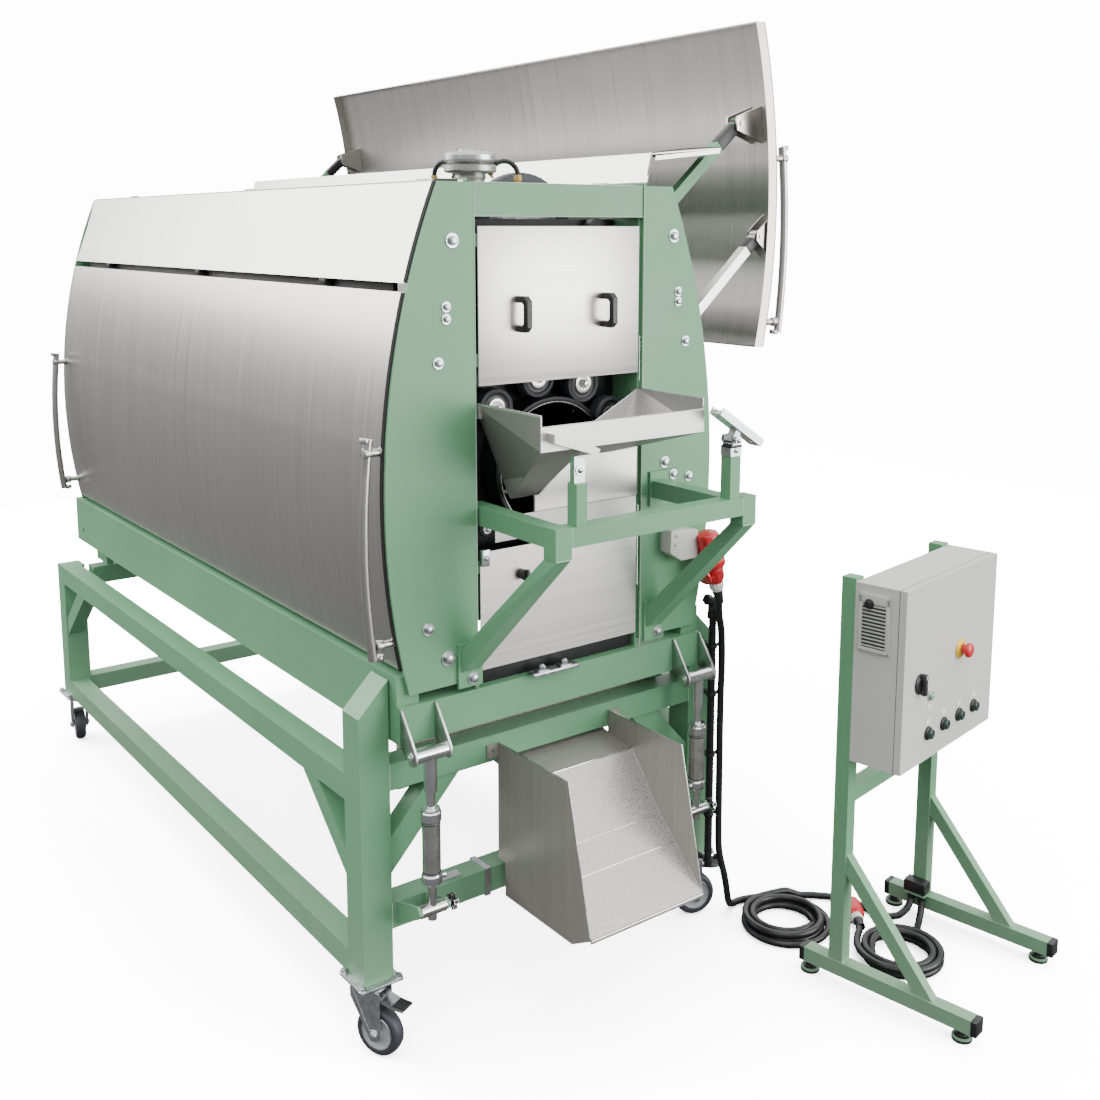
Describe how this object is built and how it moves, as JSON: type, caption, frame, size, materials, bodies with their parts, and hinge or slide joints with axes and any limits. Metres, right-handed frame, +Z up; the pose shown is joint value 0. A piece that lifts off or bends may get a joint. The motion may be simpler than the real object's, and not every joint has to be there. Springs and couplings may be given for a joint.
{
  "type": "tilting rotary drum machine with control stand",
  "caption": "Rotating drum in a tilting curved housing on a wheeled frame, with lift-up side doors, feed hopper, discharge chute and a separate control stand.",
  "frame": {"origin": "on the floor, on the machine's centre line, below the front legs' front face", "axes": "+X to the right across the machine's front, +Y from the front to the back along the drum, +Z up"},
  "size_m": [1.7468, 3.348, 2.5504],
  "materials": {
    "sage_paint": "satin sage green powder coat",
    "brushed_stainless": "brushed stainless steel",
    "zinc_plate": "bright zinc plate",
    "grey_tyre": "dark grey rubber tyre",
    "black_rubber": "matt black rubber",
    "black_plastic": "black moulded plastic",
    "black_steel": "satin black",
    "motor_grey": "cast grey",
    "cabinet_grey": "light grey powder coat",
    "red_plastic": "red moulded plastic"
  },
  "bodies": {
    "base": {"base_frame": "sage_paint", "base_fittings": "zinc_plate", "discharge_chute": "brushed_stainless", "lift_barrels": "brushed_stainless", "conduit": "black_plastic", "stand_frame": "sage_paint", "cabinet": "cabinet_grey", "link_cable": "black_rubber", "link_coil": "black_rubber", "mains_cable": "black_rubber", "mains_coil": "black_rubber", "mains_plug": "red_plastic"},
    "tilting_body": {"tilt_frame": "sage_paint", "front_frame": "sage_paint", "rear_frame": "sage_paint", "frame_bolts": "zinc_plate", "roller_plate": "black_steel", "gear_motor": "motor_grey", "hopper": "brushed_stainless", "hopper_frame": "sage_paint", "bar_heads": "zinc_plate", "lower_door": "brushed_stainless", "inlet_box": "red_plastic", "link_coupler": "red_plastic"},
    "lift_rods_body": {"lift_rods": "brushed_stainless"},
    "caster_1": {"caster_fork_1": "zinc_plate"},
    "wheel_1": {"caster_wheel_1": "grey_tyre"},
    "pedal_1": {"caster_pedal_1": "zinc_plate"},
    "caster_2": {"caster_fork_2": "zinc_plate"},
    "wheel_2": {"caster_wheel_2": "grey_tyre"},
    "pedal_2": {"caster_pedal_2": "zinc_plate"},
    "caster_3": {"caster_fork_3": "zinc_plate"},
    "wheel_3": {"caster_wheel_3": "grey_tyre"},
    "caster_4": {"caster_fork_4": "zinc_plate"},
    "wheel_4": {"caster_wheel_4": "grey_tyre"},
    "drum_body": {"drum": "brushed_stainless"},
    "roller_1": {"guide_roller_1": "black_rubber"},
    "roller_2": {"guide_roller_2": "black_rubber"},
    "roller_3": {"guide_roller_3": "black_rubber"},
    "roller_4": {"guide_roller_4": "black_rubber"},
    "drive_wheel_body": {"drive_wheel": "black_rubber"},
    "left_upper_arm_pair": {"left_upper_arms": "sage_paint"},
    "left_lower_arm_pair": {"left_lower_arms": "brushed_stainless"},
    "left_side_door": {"left_door": "brushed_stainless"},
    "left_top_cover": {"left_cover": "brushed_stainless"},
    "right_upper_arm_pair": {"right_upper_arms": "sage_paint"},
    "right_lower_arm_pair": {"right_lower_arms": "brushed_stainless"},
    "right_side_door": {"right_door": "brushed_stainless"},
    "right_top_cover": {"right_cover": "brushed_stainless"},
    "upper_panel_body": {"upper_panel": "brushed_stainless"},
    "door_knob_body": {"door_knob": "black_plastic"},
    "inlet_lid_body": {"inlet_lid": "red_plastic"},
    "slotted_bar_body": {"slotted_bar": "zinc_plate"},
    "cabinet_door_body": {"cabinet_door": "cabinet_grey"},
    "main_switch_body": {"main_switch": "black_plastic"},
    "stop_button_body": {"stop_button": "red_plastic"},
    "button_1": {"push_button_1": "black_plastic"},
    "button_2": {"push_button_2": "black_plastic"},
    "button_3": {"push_button_3": "black_plastic"},
    "button_4": {"push_button_4": "black_plastic"}
  },
  "joints": [
    {"name": "body_tilt", "type": "hinge", "parent": "base", "child": "tilting_body", "pos_m": [0, 2.38, 0.858], "axis": [-1, 0, 0], "range_deg": [0, 3]},
    {"name": "lift_extension", "type": "slide", "parent": "base", "child": "lift_rods_body", "axis": [0, 0, 1], "range_m": [0, 0.1316]},
    {"name": "caster_1_swivel", "type": "hinge", "parent": "base", "child": "caster_1", "pos_m": [-0.522, 0.04, 0.187], "axis": [0, 0, 1], "continuous": true},
    {"name": "wheel_1_roll", "type": "hinge", "parent": "caster_1", "child": "wheel_1", "pos_m": [-0.51148, 0.01843, 0.062], "axis": [0.8988, 0.4384, 0], "continuous": true},
    {"name": "brake_pedal_1", "type": "hinge", "parent": "caster_1", "child": "pedal_1", "pos_m": [-0.50709, 0.00944, 0.152], "axis": [0.8988, 0.4384, 0], "range_deg": [0, 10]},
    {"name": "caster_2_swivel", "type": "hinge", "parent": "base", "child": "caster_2", "pos_m": [0.522, 0.04, 0.187], "axis": [0, 0, 1], "continuous": true},
    {"name": "wheel_2_roll", "type": "hinge", "parent": "caster_2", "child": "wheel_2", "pos_m": [0.54455, 0.03179, 0.062], "axis": [0.342, 0.9397, 0], "continuous": true},
    {"name": "brake_pedal_2", "type": "hinge", "parent": "caster_2", "child": "pedal_2", "pos_m": [0.55395, 0.02837, 0.152], "axis": [0.342, 0.9397, 0], "range_deg": [0, 10]},
    {"name": "caster_3_swivel", "type": "hinge", "parent": "base", "child": "caster_3", "pos_m": [-0.522, 2.41, 0.187], "axis": [0, 0, 1], "continuous": true},
    {"name": "wheel_3_roll", "type": "hinge", "parent": "caster_3", "child": "wheel_3", "pos_m": [-0.51783, 2.43364, 0.062], "axis": [-0.9848, 0.1736, 0], "continuous": true},
    {"name": "caster_4_swivel", "type": "hinge", "parent": "base", "child": "caster_4", "pos_m": [0.522, 2.41, 0.187], "axis": [0, 0, 1], "continuous": true},
    {"name": "wheel_4_roll", "type": "hinge", "parent": "caster_4", "child": "wheel_4", "pos_m": [0.51379, 2.43255, 0.062], "axis": [-0.9397, -0.342, 0], "continuous": true},
    {"name": "drum_spin", "type": "hinge", "parent": "tilting_body", "child": "drum_body", "pos_m": [0, 0, 1.412], "axis": [0, 1, 0], "continuous": true},
    {"name": "roller_1_spin", "type": "hinge", "parent": "tilting_body", "child": "roller_1", "pos_m": [-0.16207, 0, 1.56851], "axis": [0, 1, 0], "continuous": true},
    {"name": "roller_2_spin", "type": "hinge", "parent": "tilting_body", "child": "roller_2", "pos_m": [-0.03524, 0, 1.63453], "axis": [0, 1, 0], "continuous": true},
    {"name": "roller_3_spin", "type": "hinge", "parent": "tilting_body", "child": "roller_3", "pos_m": [0.10577, 0, 1.61093], "axis": [0, 1, 0], "continuous": true},
    {"name": "roller_4_spin", "type": "hinge", "parent": "tilting_body", "child": "roller_4", "pos_m": [0.19705, 0, 1.52123], "axis": [0, 1, 0], "continuous": true},
    {"name": "drive_wheel_spin", "type": "hinge", "parent": "tilting_body", "child": "drive_wheel_body", "pos_m": [0, 0, 1.9903], "axis": [0, 1, 0], "continuous": true},
    {"name": "left_door_lift", "type": "hinge", "parent": "tilting_body", "child": "left_upper_arm_pair", "pos_m": [-0.348, 0, 2.008], "axis": [0, 1, 0], "range_deg": [0, 123]},
    {"name": "left_lower_arm_swing", "type": "hinge", "parent": "tilting_body", "child": "left_lower_arm_pair", "pos_m": [-0.393, 0, 1.703], "axis": [0, 1, 0], "range_deg": [0, 123]},
    {"name": "left_door_pivot", "type": "hinge", "parent": "left_upper_arm_pair", "child": "left_side_door", "pos_m": [-0.40978, 0, 1.59459], "axis": [0, 1, 0], "range_deg": [-123, 0]},
    {"name": "left_cover_hinge", "type": "hinge", "parent": "tilting_body", "child": "left_top_cover", "pos_m": [-0.272, 0, 2.112], "axis": [0, 1, 0], "range_deg": [0, 76]},
    {"name": "right_door_lift", "type": "hinge", "parent": "tilting_body", "child": "right_upper_arm_pair", "pos_m": [0.348, 0, 2.008], "axis": [0, -1, 0], "range_deg": [-123, 0]},
    {"name": "right_lower_arm_swing", "type": "hinge", "parent": "tilting_body", "child": "right_lower_arm_pair", "pos_m": [0.393, 0, 1.703], "axis": [0, -1, 0], "range_deg": [-123, 0]},
    {"name": "right_door_pivot", "type": "hinge", "parent": "right_upper_arm_pair", "child": "right_side_door", "pos_m": [0.66106, 0, 2.28498], "axis": [0, -1, 0], "range_deg": [0, 123]},
    {"name": "right_cover_hinge", "type": "hinge", "parent": "tilting_body", "child": "right_top_cover", "pos_m": [0.272, 0, 2.112], "axis": [0, -1, 0], "range_deg": [-76, 0]},
    {"name": "upper_panel_pull", "type": "slide", "parent": "tilting_body", "child": "upper_panel_body", "axis": [0, -1, 0], "range_m": [0, 0.12]},
    {"name": "door_knob_turn", "type": "hinge", "parent": "tilting_body", "child": "door_knob_body", "pos_m": [-0.124, -0.045, 1.161], "axis": [0, -1, 0], "range_deg": [0, 90]},
    {"name": "inlet_lid_swing", "type": "hinge", "parent": "tilting_body", "child": "inlet_lid_body", "pos_m": [0.42577, -0.101, 1.11111], "axis": [0, 1, 0], "range_deg": [0, 20]},
    {"name": "slotted_bar_swing", "type": "hinge", "parent": "tilting_body", "child": "slotted_bar_body", "pos_m": [0.306, -0.323, 1.491], "axis": [0, 1, 0], "range_deg": [-60, 50]},
    {"name": "cabinet_door_swing", "type": "hinge", "parent": "base", "child": "cabinet_door_body", "pos_m": [1.13446, -0.51381, 0.88], "axis": [0, 0, 1], "range_deg": [0, 110]},
    {"name": "main_switch_turn", "type": "hinge", "parent": "cabinet_door_body", "child": "main_switch_body", "pos_m": [0.70838, -0.60823, 0.86], "axis": [0.1736, -0.9848, 0], "range_deg": [0, 90]},
    {"name": "stop_button_press", "type": "slide", "parent": "cabinet_door_body", "child": "stop_button_body", "axis": [-0.1736, 0.9848, 0], "range_m": [0, 0.004]},
    {"name": "button_1_press", "type": "slide", "parent": "cabinet_door_body", "child": "button_1", "axis": [-0.1736, 0.9848, 0], "range_m": [0, 0.003], "stiffness_N_per_m": 400},
    {"name": "button_2_press", "type": "slide", "parent": "cabinet_door_body", "child": "button_2", "axis": [-0.1736, 0.9848, 0], "range_m": [0, 0.003], "stiffness_N_per_m": 400},
    {"name": "button_3_press", "type": "slide", "parent": "cabinet_door_body", "child": "button_3", "axis": [-0.1736, 0.9848, 0], "range_m": [0, 0.003], "stiffness_N_per_m": 400},
    {"name": "button_4_press", "type": "slide", "parent": "cabinet_door_body", "child": "button_4", "axis": [-0.1736, 0.9848, 0], "range_m": [0, 0.003], "stiffness_N_per_m": 400}
  ],
  "couplings": [
    {"joint": "lift_extension", "follows": "body_tilt", "m_per_rad": 2.475},
    {"joint": "roller_1_spin", "follows": "drum_spin", "ratio": -3.5},
    {"joint": "roller_2_spin", "follows": "drum_spin", "ratio": -3.5},
    {"joint": "roller_3_spin", "follows": "drum_spin", "ratio": -3.5},
    {"joint": "roller_4_spin", "follows": "drum_spin", "ratio": -3.5},
    {"joint": "drive_wheel_spin", "follows": "drum_spin", "ratio": -2.8533},
    {"joint": "left_lower_arm_swing", "follows": "left_door_lift", "ratio": 1},
    {"joint": "left_door_pivot", "follows": "left_door_lift", "ratio": -1},
    {"joint": "left_cover_hinge", "follows": "left_door_lift", "ratio": 0.6178},
    {"joint": "right_lower_arm_swing", "follows": "right_door_lift", "ratio": 1},
    {"joint": "right_door_pivot", "follows": "right_door_lift", "ratio": -1},
    {"joint": "right_cover_hinge", "follows": "right_door_lift", "ratio": 0.6178}
  ]
}
